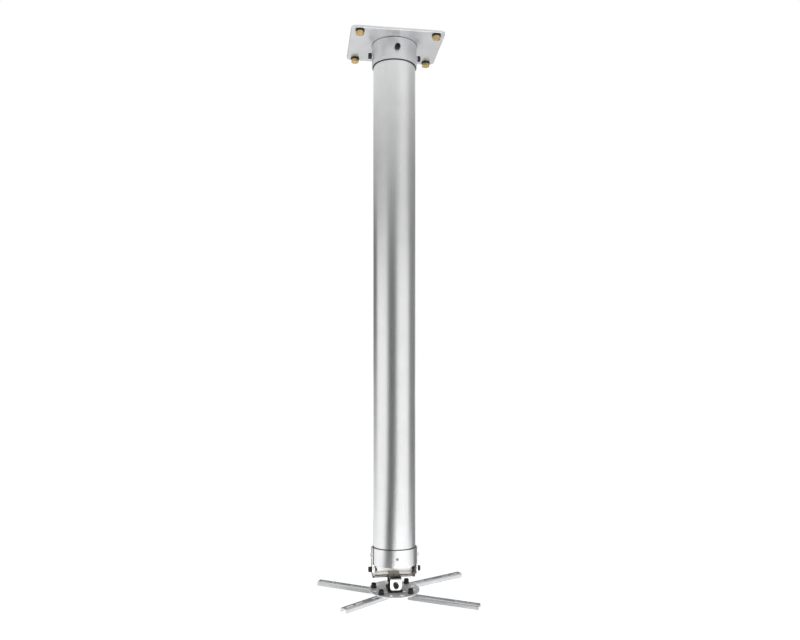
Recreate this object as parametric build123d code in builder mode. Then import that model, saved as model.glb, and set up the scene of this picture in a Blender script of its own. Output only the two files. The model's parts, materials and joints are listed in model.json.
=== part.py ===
"""Projector ceiling mount: a plate with a clamp collar, a straight tube and a tilting head with four arms.

The ceiling face lies at z = 0 and the mount hangs down from it. X runs along the plate's long side.
Lengths are in millimetres and angles in degrees.
"""
import os
from math import cos, radians, sin

from build123d import *

# Ceiling plate and its collar
plate_length = 167
plate_width = 130
plate_thickness = 4
plate_corner_r = 10
plate_edge_chamfer = 0.6
cable_hole_d = 62
collar_height = 39
collar_wall = 2.6
clamp_screw_drop = 19.3
clamp_boss_d = 14
clamp_boss_h = 0.8

# Ceiling screws, with hexagon heads under the plate
ceiling_screw_d = 8
ceiling_screw_thread_d = 7.2
ceiling_screw_inset_x = 15.5
ceiling_screw_inset_y = 9.5
ceiling_screw_hole_d = 9
ceiling_screw_af = 13
ceiling_screw_head_h = 5.3
ceiling_screw_stand_out = 3.4
washer_d = 16
washer_thickness = 2.4

# Tube
tube_d = 77
tube_wall = 3
tube_drop = 951
tube_top_gap = 1

# Lower collar, its ears and the tilt pivot
lower_collar_height = 31
lower_collar_overhang = 2
ear_seat_depth = 1.6
ear_width = 20
ear_thickness = 2.3
pivot_drop = 9.7
cheek_thickness = 3
cheek_tip_r = 8.5

# Small fasteners
m6_d = 6
m6_af = 10
m6_nut_h = 5
m6_thin_nut_h = 2.5
tilt_bolt_stub = 1.5
cap_head_d = 10
cap_head_h = 6
cap_socket_af = 5
m5_d = 5
button_head_d = 9.5
button_head_h = 2.7
button_socket_af = 3
grub_socket_af = 2.5
grub_sunk = 0.4
cap_socket_depth = 3
button_socket_depth = 1.5

# Stirrup and yoke, heights measured up from the disc's top face
rest_tilt = 6
disc_drop = 38
stirrup_rear_y = 22
stirrup_wall = 3
stirrup_wall_top = 35
stirrup_bend_r = 4
flange_front_y = 6
flange_thickness = 3
flange_lip_drop = 2.6
flange_lip_r = 2.4
yoke_width = 20.5
yoke_front_y = -25
yoke_rear_y = 20
yoke_thickness = 3
yoke_top = 28
yoke_foot = 5.5
yoke_foot_r = 5
yoke_bend_r = 4
yoke_screw_y = 9.5
yoke_screw_d = 4
yoke_screw_head_d = 7.5
yoke_screw_head_h = 2.2
yoke_screw_socket_af = 2.5
roll_height = 15

# Disc and the bracket that the yoke carries
disc_d = 94
disc_thickness = 2
disc_edge_chamfer = 0.6
hole_ring_r = 38
hole_count = 12
hole_ring_start = 15
inner_hole_ring_r = 23
inner_hole_count = 4
inner_hole_d = 5
bracket_base_width = 27
bracket_corner_r = 2
bracket_lug_width = 18
bracket_thickness = 3
bracket_lug_r = 6
rivet_d = 5
rivet_head_d = 8.5
rivet_head_h = 2.2
rivet_inset = 9

# Arms, folded channels open downwards, with the bolts and nuts that clamp them
arm_length = 135.5
arm_width = 15
arm_depth = 8
arm_wall = 1.2
arm_bend_r = 2.6
arm_travel = 38
arm_bolt_head_h = 4
arm_nut_d = 9
arm_nut_h = 8.5
arm_nut_edge = 1
arm_nut_collar_d = 10.8
arm_nut_collar_h = 1.5
arm_slot_width = 5.5
arm_slot_length = 17
arm_slot_outer = 14.4
arm_slot_middle = 36
arm_slot_inner = 75
rear_left_drawn_in = 15.5

# Clearances
running_gap = 0.05
face_gap = 0.1
side_gap = 0.3
bolt_gap = 0.2

# Derived sizes
tube_r = tube_d / 2
collar_bore_r = tube_r + face_gap
collar_r = collar_bore_r + collar_wall
clamp_seat_r = collar_r + clamp_boss_h
ceiling_screw_pitch_x = plate_length - 2 * ceiling_screw_inset_x
ceiling_screw_pitch_y = plate_width - 2 * ceiling_screw_inset_y
tube_top_z = -plate_thickness - tube_top_gap
tube_bottom_z = -tube_drop
lower_collar_bottom_z = tube_bottom_z - lower_collar_overhang
lower_collar_mid_z = lower_collar_bottom_z + lower_collar_height / 2
lower_collar_top_z = lower_collar_bottom_z + lower_collar_height
pivot_z = lower_collar_bottom_z - pivot_drop
ear_seat_x = collar_r - ear_seat_depth
cheek_outer_x = ear_seat_x - side_gap
cheek_inner_x = cheek_outer_x - cheek_thickness
m6_bore_r = m6_d / 2 + running_gap
m5_bore_r = m5_d / 2 + running_gap
yoke_screw_bore_r = yoke_screw_d / 2 + running_gap
slot_bolt_width = m6_d + 2 * bolt_gap
arm_eye_r = arm_width / 2
arm_reach_out = arm_length - arm_eye_r
arm_slots = (arm_slot_outer, arm_slot_middle, arm_slot_inner)

# Each arm takes one hole of the disc's ring, points along a heading and is drawn in along its slot
arm_layout = {
    "front_left": {"hole": 7, "heading": 217, "drawn_in": arm_travel},
    "front_right": {"hole": 10, "heading": 332.2, "drawn_in": 0},
    "rear_right": {"hole": 1, "heading": 26.3, "drawn_in": 0},
    "rear_left": {"hole": 5, "heading": 151, "drawn_in": rear_left_drawn_in},
}

# Frames: the neck hangs straight below the tube, and the head turns about the tilt pivot.
# The disc frame lies on the disc's top face.
neck = Plane((0, 0, pivot_z))
head = neck.rotated((rest_tilt, 0, 0))
disc_frame = head.offset(-disc_drop)
under_disc = disc_frame.offset(-disc_thickness - face_gap)
head_y = Axis(head.origin, head.y_dir)
head_z = Axis(head.origin, head.z_dir)


def radial_plane(turn, z, distance):
    """A plane facing outwards from the tube's axis."""
    way = (cos(radians(turn)), sin(radians(turn)), 0)
    across = (-sin(radians(turn)), cos(radians(turn)), 0)
    return Plane((way[0] * distance, way[1] * distance, z), x_dir=across, z_dir=way)


def side_of(frame, x):
    """A plane facing +X of a frame, with its own x along the frame's Y and its own y along the frame's Z."""
    return Plane(frame.from_local_coords((x, 0, 0)), x_dir=frame.y_dir, z_dir=frame.x_dir)


def front_of(frame, y):
    """A plane facing -Y of a frame, with its own x along the frame's X and its own y along the frame's Z."""
    return Plane(frame.from_local_coords((0, y, 0)), x_dir=frame.x_dir, z_dir=-frame.y_dir)


def raised(plane, height):
    """The same plane, moved along its own y."""
    return Plane(plane * Location((0, height, 0)))


def placed(frame, x, y, turn):
    """A frame moved along its own X and Y, then turned about its own Z."""
    return Plane(frame * Location((x, y, 0), (0, 0, turn)))


def round_bar(plane, radius, length, mode=Mode.ADD):
    """A cylinder standing on a plane, or a hole drilled from it."""
    with BuildSketch(plane) as section:
        Circle(radius)
    extrude(section.sketch, amount=length, mode=mode)


def hex_bar(plane, across_flats, length, mode=Mode.ADD):
    """A hexagonal bar standing on a plane, or a hexagon socket cut from it."""
    with BuildSketch(plane) as section:
        RegularPolygon(across_flats / 2, 6, major_radius=False)
    extrude(section.sketch, amount=length, mode=mode)


def socket_screw(seat, shank_d, reach, head_d, head_h, socket_af, socket_depth):
    """A round-headed socket screw: the head stands on the seat, the shank goes down from it."""
    round_bar(seat, head_d / 2, head_h)
    round_bar(seat, shank_d / 2, -reach)
    hex_bar(seat.offset(head_h), socket_af, -socket_depth, Mode.SUBTRACT)


def hex_nut(seat, across_flats, height, bore_r):
    """A plain hexagon nut standing on a seat."""
    hex_bar(seat, across_flats, height)
    round_bar(seat, bore_r, height, Mode.SUBTRACT)


def finish(builder, label):
    """Names a finished piece and writes it to its own file."""
    builder.part.label = label
    export_step(builder.part, f"parts/{label}.step")


os.makedirs("parts", exist_ok=True)

# Ceiling plate
with BuildPart() as ceiling_plate:
    with BuildSketch(Plane.XY.offset(-plate_thickness)):
        RectangleRounded(plate_length, plate_width, plate_corner_r)
        Circle(cable_hole_d / 2, mode=Mode.SUBTRACT)
        with GridLocations(ceiling_screw_pitch_x, ceiling_screw_pitch_y, 2, 2):
            Circle(ceiling_screw_hole_d / 2, mode=Mode.SUBTRACT)
    extrude(amount=plate_thickness)
    chamfer(ceiling_plate.faces().sort_by(Axis.Z)[0].outer_wire().edges(), plate_edge_chamfer)
finish(ceiling_plate, "ceiling_plate")

# Collar under the plate, with a tapped boss for each of the four clamp screws
clamp_screw_z = -plate_thickness - clamp_screw_drop
quarter_turns = range(0, 360, 90)
with BuildPart() as ceiling_collar:
    with BuildSketch(Plane.XY.offset(-plate_thickness)):
        Circle(collar_r)
    extrude(amount=-collar_height)
    for turn in quarter_turns:
        round_bar(radial_plane(turn, clamp_screw_z, 0), clamp_boss_d / 2, clamp_seat_r)
    with BuildSketch(Plane.XY.offset(-plate_thickness)):
        Circle(collar_bore_r)
    extrude(amount=-collar_height, mode=Mode.SUBTRACT)
    for turn in quarter_turns:
        round_bar(radial_plane(turn, clamp_screw_z, 0), m6_bore_r, clamp_seat_r, Mode.SUBTRACT)
finish(ceiling_collar, "ceiling_collar")

# Screws that clamp the tube in the collar
with BuildPart() as clamp_screws:
    for turn in quarter_turns:
        seat = radial_plane(turn, clamp_screw_z, clamp_seat_r)
        reach = clamp_seat_r - collar_bore_r
        socket_screw(seat, m6_d, reach, cap_head_d, cap_head_h, cap_socket_af, cap_socket_depth)
finish(clamp_screws, "clamp_screws")

# Washers and hexagon screws at the plate's corners
washer_seat = Plane.XY.offset(-plate_thickness)
with BuildPart() as ceiling_washers:
    with BuildSketch(washer_seat):
        with GridLocations(ceiling_screw_pitch_x, ceiling_screw_pitch_y, 2, 2):
            Circle(washer_d / 2)
            Circle(ceiling_screw_hole_d / 2, mode=Mode.SUBTRACT)
    extrude(amount=-washer_thickness)
finish(ceiling_washers, "ceiling_washers")

with BuildPart() as ceiling_screws:
    with BuildSketch(washer_seat.offset(-washer_thickness)):
        with GridLocations(ceiling_screw_pitch_x, ceiling_screw_pitch_y, 2, 2):
            RegularPolygon(ceiling_screw_af / 2, 6, major_radius=False)
    extrude(amount=-ceiling_screw_head_h)
    with BuildSketch(washer_seat.offset(-washer_thickness)):
        with GridLocations(ceiling_screw_pitch_x, ceiling_screw_pitch_y, 2, 2):
            Circle(ceiling_screw_d / 2)
    extrude(amount=washer_thickness + plate_thickness)
    with BuildSketch(Plane.XY):
        with GridLocations(ceiling_screw_pitch_x, ceiling_screw_pitch_y, 2, 2):
            Circle(ceiling_screw_thread_d / 2)
    extrude(amount=ceiling_screw_stand_out)
finish(ceiling_screws, "ceiling_screws")

# Tube
with BuildPart() as tube:
    with BuildSketch(Plane.XY.offset(tube_bottom_z)):
        Circle(tube_r)
        Circle(tube_r - tube_wall, mode=Mode.SUBTRACT)
    extrude(amount=tube_top_z - tube_bottom_z)
finish(tube, "tube")

# Lower collar, with a flat for each ear and tapped holes on four sides
with BuildPart() as lower_collar:
    with BuildSketch(Plane.XY.offset(lower_collar_bottom_z)):
        Circle(collar_r)
        Rectangle(2 * ear_seat_x, 2 * collar_r, mode=Mode.INTERSECT)
        Circle(collar_bore_r, mode=Mode.SUBTRACT)
    extrude(amount=lower_collar_height)
    for turn in quarter_turns:
        round_bar(radial_plane(turn, lower_collar_mid_z, 0), m5_bore_r, collar_r, Mode.SUBTRACT)
finish(lower_collar, "lower_collar")

# Ears that carry the tilt pivot, one on each flat of the collar
ear_top = lower_collar_top_z - pivot_z
for name, way in (("left", -1), ("right", 1)):
    with BuildPart() as ear:
        with BuildSketch(side_of(neck, way * ear_seat_x)):
            with Locations((0, ear_top / 2)):
                Rectangle(ear_width, ear_top)
            Circle(ear_width / 2)
            Circle(m6_bore_r, mode=Mode.SUBTRACT)
            with Locations((0, lower_collar_mid_z - pivot_z)):
                Circle(m5_bore_r, mode=Mode.SUBTRACT)
        extrude(amount=way * ear_thickness)
    finish(ear, f"collar_ear_{name}")

# Screws that hold the ears, and the set screws between them
ear_outer_x = ear_seat_x + ear_thickness
with BuildPart() as ear_screws:
    for turn in (0, 180):
        seat = radial_plane(turn, lower_collar_mid_z, ear_outer_x)
        reach = ear_outer_x - collar_bore_r
        socket_screw(seat, m5_d, reach, button_head_d, button_head_h, button_socket_af, button_socket_depth)
finish(ear_screws, "ear_screws")

with BuildPart() as set_screws:
    for turn in (90, 270):
        face = radial_plane(turn, lower_collar_mid_z, collar_r - grub_sunk)
        round_bar(face, m5_d / 2, collar_bore_r - collar_r + grub_sunk)
        hex_bar(face, grub_socket_af, -collar_wall / 2, Mode.SUBTRACT)
finish(set_screws, "set_screws")

# Tilt bolts through ears and cheeks, with their nuts inside
nut_seat_x = cheek_inner_x - face_gap
with BuildPart() as tilt_bolts:
    for turn in (0, 180):
        seat = radial_plane(turn, pivot_z, ear_outer_x)
        reach = ear_outer_x - nut_seat_x + m6_thin_nut_h + tilt_bolt_stub
        socket_screw(seat, m6_d, reach, cap_head_d, cap_head_h, cap_socket_af, cap_socket_depth)
finish(tilt_bolts, "tilt_bolts")

with BuildPart() as tilt_nuts:
    for turn in (0, 180):
        hex_nut(radial_plane(turn, pivot_z, nut_seat_x - m6_thin_nut_h), m6_af, m6_thin_nut_h, m6_bore_r)
finish(tilt_nuts, "tilt_nuts")

# Stirrup: a folded plate with a rear wall, two cheeks on the pivot and a flange that carries the yoke.
# The flange's front edge is turned down beside the yoke, and the cheeks reach as low as that lip.
flange_top = yoke_top - yoke_thickness - disc_drop
flange_bottom = flange_top - flange_thickness
lip_bottom = flange_bottom - flange_lip_drop
wall_top = stirrup_wall_top - disc_drop
stirrup_back_y = stirrup_rear_y + stirrup_wall
cheek_front_y = -cheek_tip_r
stirrup_depth = stirrup_back_y - cheek_front_y
stirrup_mid_y = (stirrup_back_y + cheek_front_y) / 2
notch_front_y = yoke_rear_y - yoke_thickness - side_gap
notch_width = yoke_width + 2 * side_gap
with BuildPart() as stirrup:
    with BuildSketch(head.offset(lip_bottom)):
        with Locations((0, stirrup_mid_y)):
            Rectangle(2 * cheek_outer_x, stirrup_depth)
        with Locations((0, stirrup_mid_y - stirrup_wall)):
            Rectangle(2 * cheek_inner_x, stirrup_depth, mode=Mode.SUBTRACT)
    extrude(amount=cheek_tip_r - lip_bottom)
    rear_corners = stirrup.edges().filter_by(head_z).group_by(head_y)[-1]
    fillet(rear_corners, stirrup_bend_r)
    with BuildSketch(side_of(head, -cheek_outer_x)):
        Circle(cheek_tip_r)
        with Locations(((flange_front_y + stirrup_back_y) / 2, (wall_top + lip_bottom) / 2)):
            Rectangle(stirrup_back_y - flange_front_y, wall_top - lip_bottom)
        make_hull(mode=Mode.REPLACE)
    extrude(amount=2 * cheek_outer_x, mode=Mode.INTERSECT)
    with BuildSketch(side_of(head, -cheek_inner_x)) as flange_profile:
        with Locations(((flange_front_y + stirrup_rear_y) / 2, flange_top - flange_thickness / 2)):
            Rectangle(stirrup_rear_y - flange_front_y, flange_thickness)
        with Locations((flange_front_y + flange_thickness / 2, (flange_top + lip_bottom) / 2)):
            Rectangle(flange_thickness, flange_top - lip_bottom)
        fillet(flange_profile.vertices().group_by(Axis.X)[0], flange_lip_r)
    extrude(amount=2 * cheek_inner_x)
    with BuildSketch(head.offset(flange_bottom)):
        with Locations((0, (notch_front_y + stirrup_rear_y) / 2)):
            Rectangle(notch_width, stirrup_rear_y - notch_front_y)
        with Locations((0, yoke_screw_y)):
            Circle(yoke_screw_bore_r)
    extrude(amount=flange_thickness, mode=Mode.SUBTRACT)
    with BuildSketch(head.offset(lip_bottom)):
        with Locations((0, flange_front_y + flange_thickness / 2)):
            Rectangle(notch_width, flange_thickness)
        with Locations((0, stirrup_rear_y + stirrup_wall / 2)):
            Rectangle(2 * cheek_inner_x, stirrup_wall)
    extrude(amount=flange_lip_drop, mode=Mode.SUBTRACT)
    round_bar(side_of(head, -cheek_outer_x), m6_bore_r, 2 * cheek_outer_x, Mode.SUBTRACT)
finish(stirrup, "stirrup")

# Yoke: a strap bent to an upside-down U, with the roll pivot through its legs
yoke_mid_y = (yoke_front_y + yoke_rear_y) / 2
yoke_depth = yoke_rear_y - yoke_front_y
yoke_height = yoke_top - yoke_foot
with BuildPart() as yoke:
    with BuildSketch(side_of(disc_frame, -yoke_width / 2)):
        with Locations((yoke_mid_y, yoke_foot + yoke_height / 2)):
            strap = Rectangle(yoke_depth, yoke_height)
        fillet(strap.vertices().group_by(Axis.Y)[-1], yoke_bend_r)
        with Locations((yoke_mid_y, yoke_foot + (yoke_height - yoke_thickness) / 2)):
            Rectangle(yoke_depth - 2 * yoke_thickness, yoke_height - yoke_thickness, mode=Mode.SUBTRACT)
    extrude(amount=yoke_width)
    fillet(yoke.edges().filter_by(head_y).group_by(head_z)[0], yoke_foot_r)
    roll_hole = raised(front_of(disc_frame, yoke_front_y), roll_height)
    round_bar(roll_hole, m6_bore_r, -yoke_depth, Mode.SUBTRACT)
    screw_hole = placed(disc_frame.offset(yoke_top), 0, yoke_screw_y, 0)
    round_bar(screw_hole, yoke_screw_bore_r, -yoke_thickness, Mode.SUBTRACT)
finish(yoke, "yoke")

# Screw that holds the yoke to the flange from below
with BuildPart() as yoke_screw:
    seat = placed(head.offset(flange_bottom), 0, yoke_screw_y, 0)
    underside = Plane(seat.origin, x_dir=seat.x_dir, z_dir=-seat.z_dir)
    reach = flange_thickness + yoke_thickness - face_gap
    head_d = yoke_screw_head_d
    head_h = yoke_screw_head_h
    socket_screw(underside, yoke_screw_d, reach, head_d, head_h, yoke_screw_socket_af, button_socket_depth)
finish(yoke_screw, "yoke_screw")

# Roll bolt along the yoke, with its nut behind the rear leg
with BuildPart() as roll_bolt:
    seat = raised(front_of(disc_frame, yoke_front_y), roll_height)
    reach = yoke_depth + m6_nut_h
    socket_screw(seat, m6_d, reach, cap_head_d, cap_head_h, cap_socket_af, cap_socket_depth)
finish(roll_bolt, "roll_bolt")

with BuildPart() as roll_nut:
    hex_nut(raised(front_of(disc_frame, yoke_rear_y), roll_height), m6_af, -m6_nut_h, m6_bore_r)
finish(roll_nut, "roll_nut")

# Bracket on the disc: a wide base with two lugs that turn between the yoke's legs
bracket_front_y = yoke_front_y + yoke_thickness + side_gap
bracket_rear_y = yoke_rear_y - yoke_thickness - side_gap
bracket_depth = bracket_rear_y - bracket_front_y
bracket_mid_y = (bracket_front_y + bracket_rear_y) / 2
rivet_ys = (bracket_mid_y - rivet_inset, bracket_mid_y + rivet_inset)
rivet_bore_r = rivet_d / 2 + running_gap
with BuildPart() as pivot_bracket:
    with BuildSketch(disc_frame):
        with Locations((0, bracket_mid_y)):
            RectangleRounded(bracket_base_width, bracket_depth, bracket_corner_r)
    extrude(amount=bracket_thickness)
    for lug_y in (bracket_front_y, bracket_rear_y - bracket_thickness):
        with BuildSketch(front_of(disc_frame, lug_y)):
            with Locations((0, roll_height)):
                Circle(bracket_lug_r)
            with Locations((0, bracket_thickness / 2)):
                Rectangle(bracket_lug_width, bracket_thickness)
            make_hull(mode=Mode.REPLACE)
        extrude(amount=-bracket_thickness)
    roll_hole = raised(front_of(disc_frame, bracket_front_y), roll_height)
    round_bar(roll_hole, m6_bore_r, -bracket_depth, Mode.SUBTRACT)
    for rivet_y in rivet_ys:
        round_bar(placed(disc_frame, 0, rivet_y, 0), rivet_bore_r, bracket_thickness, Mode.SUBTRACT)
finish(pivot_bracket, "pivot_bracket")

# Disc with its ring of holes
with BuildPart() as adapter_disc:
    with BuildSketch(disc_frame.offset(-disc_thickness)):
        Circle(disc_d / 2)
        with PolarLocations(hole_ring_r, hole_count, start_angle=hole_ring_start):
            Circle(m6_bore_r, mode=Mode.SUBTRACT)
        with PolarLocations(inner_hole_ring_r, inner_hole_count, start_angle=180 / inner_hole_count):
            Circle(inner_hole_d / 2, mode=Mode.SUBTRACT)
        with Locations(*[(0, rivet_y) for rivet_y in rivet_ys]):
            Circle(rivet_bore_r, mode=Mode.SUBTRACT)
    extrude(amount=disc_thickness)
    chamfer(adapter_disc.edges().filter_by(GeomType.CIRCLE).group_by(SortBy.RADIUS)[-1], disc_edge_chamfer)
finish(adapter_disc, "adapter_disc")

# Rivets that hold the bracket on the disc, flush below
with BuildPart() as bracket_rivets:
    for rivet_y in rivet_ys:
        shank_end = placed(disc_frame.offset(-disc_thickness), 0, rivet_y, 0)
        round_bar(shank_end, rivet_d / 2, disc_thickness + bracket_thickness)
        head_seat = placed(disc_frame.offset(bracket_thickness), 0, rivet_y, 0)
        round_bar(head_seat, rivet_head_d / 2, rivet_head_h)
finish(bracket_rivets, "bracket_rivets")

# Arms, with the bolt and nut that clamp each one under the disc
for name, layout in arm_layout.items():
    hole_turn = radians(hole_ring_start + layout["hole"] * 360 / hole_count)
    bolt_x = hole_ring_r * cos(hole_turn)
    bolt_y = hole_ring_r * sin(hole_turn)
    arm_top = placed(under_disc, bolt_x, bolt_y, layout["heading"])
    disc_top = placed(disc_frame, bolt_x, bolt_y, layout["heading"])
    eye_x = -layout["drawn_in"]
    tip_x = arm_reach_out - layout["drawn_in"]

    with BuildPart() as arm:
        with BuildSketch(arm_top):
            with Locations((eye_x + arm_reach_out / 2, 0)):
                Rectangle(arm_reach_out, arm_width)
            with Locations((eye_x, 0)):
                Circle(arm_eye_r)
        extrude(amount=-arm_depth)
        along = Axis(arm_top.origin, arm_top.x_dir)
        top_edges = arm.faces().sort_by(head_z)[-1].outer_wire().edges()
        fillet(top_edges.filter_by(along), arm_bend_r)
        with BuildSketch(arm_top.offset(-arm_wall)):
            Rectangle(2 * arm_length + 2 * arm_travel, arm_width - 2 * arm_wall)
        extrude(amount=-arm_depth, mode=Mode.SUBTRACT)
        with BuildSketch(arm_top):
            with Locations((eye_x + arm_travel / 2, 0)):
                SlotCenterToCenter(arm_travel, slot_bolt_width)
            with Locations(*[(tip_x - from_tip, 0) for from_tip in arm_slots]):
                SlotOverall(arm_slot_length, arm_slot_width)
        extrude(amount=-arm_wall, mode=Mode.SUBTRACT)
    finish(arm, f"arm_{name}")

    with BuildPart() as arm_bolt:
        head_top = arm_top.offset(-arm_wall - face_gap)
        hex_bar(head_top, m6_af, -arm_bolt_head_h)
        round_bar(head_top, m6_d / 2, arm_wall + disc_thickness + arm_nut_h)
    finish(arm_bolt, f"arm_bolt_{name}")

    with BuildPart() as arm_nut:
        nut_seat = disc_top.offset(face_gap)
        round_bar(nut_seat, arm_nut_d / 2, arm_nut_h)
        chamfer(arm_nut.faces().sort_by(head_z)[-1].edges(), arm_nut_edge)
        round_bar(nut_seat, arm_nut_collar_d / 2, arm_nut_collar_h)
        round_bar(nut_seat, m6_bore_r, arm_nut_h, Mode.SUBTRACT)
    finish(arm_nut, f"arm_nut_{name}")
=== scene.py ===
"""Looks of the projector ceiling mount: finishes, detailed fasteners, studio light and camera.

Everything is in metres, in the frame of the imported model: the ceiling face lies at z = 0, the mount
hangs down from it and -Y is its front.
"""

import json
import logging
import math
from dataclasses import dataclass, field
from enum import Enum
from typing import Any, Callable, ClassVar

import bpy
from mathutils import Matrix, Vector

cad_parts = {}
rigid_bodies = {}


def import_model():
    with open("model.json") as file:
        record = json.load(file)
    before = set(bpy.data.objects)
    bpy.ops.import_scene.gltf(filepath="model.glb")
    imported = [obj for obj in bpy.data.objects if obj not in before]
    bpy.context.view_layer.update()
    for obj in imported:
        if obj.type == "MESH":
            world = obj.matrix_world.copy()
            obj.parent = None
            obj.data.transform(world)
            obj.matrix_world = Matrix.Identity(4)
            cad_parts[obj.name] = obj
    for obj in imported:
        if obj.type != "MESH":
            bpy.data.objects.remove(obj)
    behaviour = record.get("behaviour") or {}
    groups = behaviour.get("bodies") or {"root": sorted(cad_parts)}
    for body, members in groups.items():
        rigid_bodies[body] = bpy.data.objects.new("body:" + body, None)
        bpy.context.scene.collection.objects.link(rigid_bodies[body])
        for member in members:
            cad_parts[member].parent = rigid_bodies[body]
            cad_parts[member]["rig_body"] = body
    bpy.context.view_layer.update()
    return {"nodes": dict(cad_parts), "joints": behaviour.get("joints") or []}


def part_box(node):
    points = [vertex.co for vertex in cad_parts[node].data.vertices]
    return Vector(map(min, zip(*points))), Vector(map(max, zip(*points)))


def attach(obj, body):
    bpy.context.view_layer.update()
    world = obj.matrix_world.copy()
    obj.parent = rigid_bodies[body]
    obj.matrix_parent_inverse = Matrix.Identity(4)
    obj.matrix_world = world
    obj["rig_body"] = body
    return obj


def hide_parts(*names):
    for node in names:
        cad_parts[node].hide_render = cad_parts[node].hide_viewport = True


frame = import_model()

LOG = logging.getLogger("ceiling_mount")
MM = 0.001
FULL_TURN = 2 * math.pi
SIXTH_TURN = FULL_TURN / 6
SHARP_ANGLE = math.radians(32)
SEGMENTS = 72
FINE_SEGMENTS = 192
COLLAR_GAP = 0.1 * MM
WELD_REACH = 0.004 * MM
# Slot of the thin dark pieces that stand for shade: painted shadow.
SHADE_PIECE_SLOT = "black_oxide"
# A hexagon's round face, as a share of its size, and a thread's depth, as a share of its pitch.
HEX_FACE = 0.475
THREAD_DEPTH = 0.6
Colour = tuple[float, float, float]
Direction = tuple[float, float, float]
RingShape = Callable[[float], tuple[float, float]]
Socket = bpy.types.NodeSocket


class Way(Enum):
    """Directions out of the object, in the model's frame."""

    RIGHT = (1, 0, 0)
    LEFT = (-1, 0, 0)
    FRONT = (0, -1, 0)
    REAR = (0, 1, 0)
    UP = (0, 0, 1)
    DOWN = (0, 0, -1)

    @property
    def vector(self) -> Vector:
        """The direction as a vector."""
        return Vector(self.value)


SIDES = (Way.LEFT, Way.RIGHT)


class Grain(Enum):
    """How the fine marks of a surface run: the scale of its noise along X, Y and Z."""

    DRAWN_DOWN = (900, 900, 9)
    EVEN = (1200, 1200, 1200)
    PEEL = (2600, 2600, 2600)


class NodeSheet:
    """A node tree, with short ways to add nodes and to join them."""

    def __init__(self, owner: bpy.types.Material | bpy.types.World) -> None:
        """Starts an empty tree.

        Args:
            owner: the material or world that holds it.
        """
        owner.use_nodes = True
        self.owner = owner
        self.tree = owner.node_tree
        self.tree.nodes.clear()

    @classmethod
    def of_material(cls, name: str) -> "NodeSheet":
        """Starts the tree of a new material of that name."""
        return cls(bpy.data.materials.new(name))

    def add(self, kind: str, inputs: dict[Any, Any] | None = None,
            **settings: Any) -> bpy.types.Node:
        """Adds a node.

        Args:
            kind: the node's type name after "ShaderNode".
            inputs: values or output sockets, by the name or number of the input.
            settings: the node's own properties.

        Returns:
            The new node.
        """
        node = self.tree.nodes.new(f"ShaderNode{kind}")
        for name, value in settings.items():
            setattr(node, name, value)
        for name, value in (inputs or {}).items():
            if isinstance(value, Socket):
                self.tree.links.new(value, node.inputs[name])
            else:
                node.inputs[name].default_value = value
        return node

    def place(self) -> Socket:
        """The shaded point, in the object's own frame."""
        return self.add("TexCoord").outputs["Object"]

    def maths(self, operation: str, first: Any, second: Any) -> Socket:
        """The result of an operation on two numbers, such as MULTIPLY."""
        return self.add("Math", {0: first, 1: second}, operation=operation).outputs[0]

    def dot(self, vector: Socket, way: Direction) -> Socket:
        """The length of a vector along a direction."""
        dot = self.add("VectorMath", {0: vector, 1: way}, operation="DOT_PRODUCT")
        return dot.outputs["Value"]

    def noise(self, scale: Colour, detail: float, offset: float = 0.0) -> Socket:
        """Adds a noise that is stretched by its scale along each axis of the object.

        Args:
            scale: marks per metre along X, Y and Z.
            detail: octaves of finer noise.
            offset: shift of the pattern, so that two noises differ.

        Returns:
            The noise's value, about 0.5 on average.
        """
        placed = self.add("Mapping", {"Vector": self.place(), "Scale": scale,
                                      "Location": (offset, offset, offset)})
        noise = self.add("TexNoise", {"Vector": placed.outputs[0], "Scale": 1.0, "Detail": detail})
        return noise.outputs[0]

    def spread(self, value: Socket, low: float, high: float,
               from_low: float = 0.3, from_high: float = 0.7) -> Socket:
        """Maps a noise's usual range to another range and clamps it.

        Args:
            value: the noise.
            low: result at from_low.
            high: result at from_high.
            from_low: lower end of the range that is mapped.
            from_high: upper end of the range that is mapped.

        Returns:
            The mapped value.
        """
        names = ("From Min", "From Max", "To Min", "To Max")
        limits = dict(zip(names, (from_low, from_high, low, high)))
        return self.add("MapRange", {"Value": value, **limits}).outputs[0]

    def blend(self, share: Socket, first: Any, second: Any) -> Socket:
        """Mixes two colours by a share.

        Args:
            share: 0 for the first colour, 1 for the second.
            first: a colour or a colour socket.
            second: a colour or a colour socket.

        Returns:
            The mixed colour.
        """
        ends = [(*end, 1.0) if isinstance(end, tuple) else end for end in (first, second)]
        return self.add("MixRGB", {"Fac": share, "Color1": ends[0], "Color2": ends[1]}).outputs[0]

    def finish(self, shader: Socket) -> bpy.types.Material:
        """Joins a shader to the material's output and returns the material."""
        self.add("OutputMaterial", {"Surface": shader})
        return self.owner


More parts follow.
